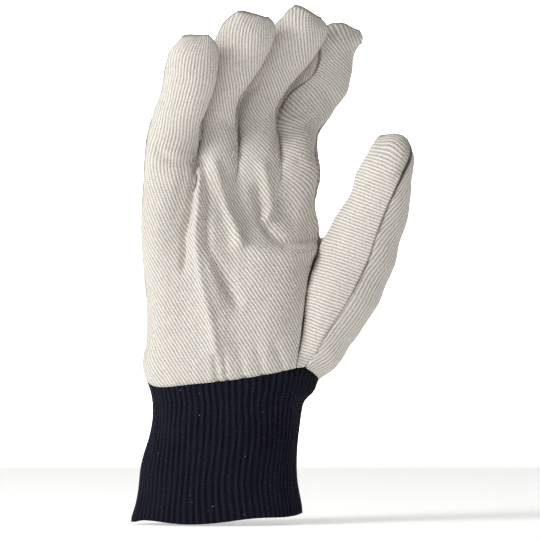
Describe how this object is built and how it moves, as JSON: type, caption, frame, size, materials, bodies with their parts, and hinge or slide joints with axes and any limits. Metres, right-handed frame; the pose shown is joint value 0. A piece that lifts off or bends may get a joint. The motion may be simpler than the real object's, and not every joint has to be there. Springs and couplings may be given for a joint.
{
  "type": "cotton work glove",
  "caption": "Right-hand work glove of undyed cotton drill with a ribbed knit wrist, holding the form of a hand, open at the wrist and hollow inside.",
  "frame": {"origin": "centre of the wrist opening at the cuff's hem, where the wrist goes in", "axes": "+Z along the hand towards the fingertips, the palm faces -Y, and the thumb is on +X"},
  "size_m": [0.1429, 0.0671, 0.2625],
  "materials": {
    "cotton_drill": "matte undyed cotton drill with a slight nap",
    "navy_knit": "matte ribbed knit, very dark navy"
  },
  "bodies": {
    "root": {"palm_panel": "cotton_drill", "back_panel": "cotton_drill", "thumb_front_panel": "cotton_drill", "knit_cuff": "navy_knit"}
  },
  "joints": []
}
